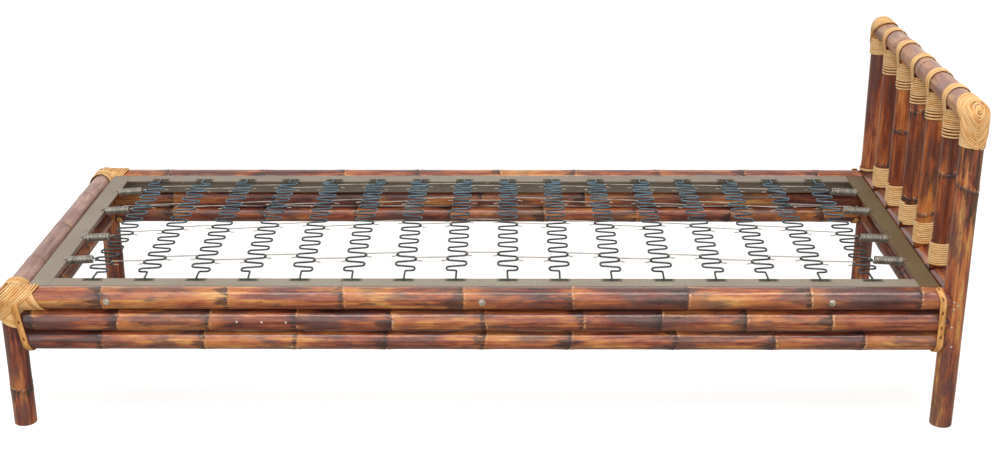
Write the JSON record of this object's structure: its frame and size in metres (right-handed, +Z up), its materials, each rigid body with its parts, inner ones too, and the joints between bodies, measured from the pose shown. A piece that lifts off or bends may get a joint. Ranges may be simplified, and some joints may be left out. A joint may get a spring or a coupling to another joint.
{
  "type": "bamboo daybed",
  "caption": "Low daybed of stacked bamboo poles lashed with rattan, with a spindle headboard and a steel angle frame carrying a deck of zigzag springs for a mattress.",
  "frame": {"origin": "on the floor, midway between the four uprights", "axes": "+X towards the headboard, +Y towards the back, +Z up"},
  "size_m": [2.064, 0.854, 0.73],
  "materials": {
    "bamboo": "glossy lacquer over torched bamboo",
    "pale_bamboo": "glossy lacquer, paler and mauve-brown",
    "rattan": "satin honey-coloured rattan peel",
    "frame_paint": "worn warm grey paint",
    "spring_steel": "dark blue-grey tempered wire"
  },
  "bodies": {
    "root": {"foot_leg_front": "bamboo", "foot_leg_back": "bamboo", "head_post_front": "bamboo", "head_post_back": "bamboo", "front_rail_top": "bamboo", "back_rail_top": "bamboo", "foot_rail_top": "bamboo", "head_rail_top": "bamboo", "front_rail_middle": "bamboo", "back_rail_middle": "bamboo", "foot_rail_middle": "bamboo", "head_rail_middle": "bamboo", "front_rail_bottom": "bamboo", "back_rail_bottom": "bamboo", "foot_rail_bottom": "bamboo", "head_rail_bottom": "bamboo", "headboard_top_rail": "pale_bamboo", "spindle_1": "bamboo", "spindle_2": "bamboo", "spindle_3": "bamboo", "spindle_4": "bamboo", "spindle_5": "bamboo", "spindle_binding_1": "rattan", "spindle_binding_2": "rattan", "spindle_binding_3": "rattan", "spindle_binding_4": "rattan", "spindle_binding_5": "rattan", "headboard_lashing_1": "rattan", "headboard_lashing_2": "rattan", "headboard_lashing_3": "rattan", "headboard_lashing_4": "rattan", "headboard_lashing_5": "rattan", "joint_band_head_front": "rattan", "joint_band_head_back": "rattan", "corner_wrap_foot_front": "rattan", "corner_wrap_foot_back": "rattan", "corner_wrap_head_front": "rattan", "corner_wrap_head_back": "rattan", "frame_bar_front": "frame_paint", "frame_bar_back": "frame_paint", "frame_bar_foot": "frame_paint", "frame_bar_head": "frame_paint", "zigzag_spring_01": "spring_steel", "zigzag_spring_02": "spring_steel", "zigzag_spring_03": "spring_steel", "zigzag_spring_04": "spring_steel", "zigzag_spring_05": "spring_steel", "zigzag_spring_06": "spring_steel", "zigzag_spring_07": "spring_steel", "zigzag_spring_08": "spring_steel", "zigzag_spring_09": "spring_steel", "zigzag_spring_10": "spring_steel", "zigzag_spring_11": "spring_steel", "zigzag_spring_12": "spring_steel", "zigzag_spring_13": "spring_steel", "zigzag_spring_14": "spring_steel", "zigzag_spring_15": "spring_steel", "zigzag_spring_16": "spring_steel"}
  },
  "joints": []
}
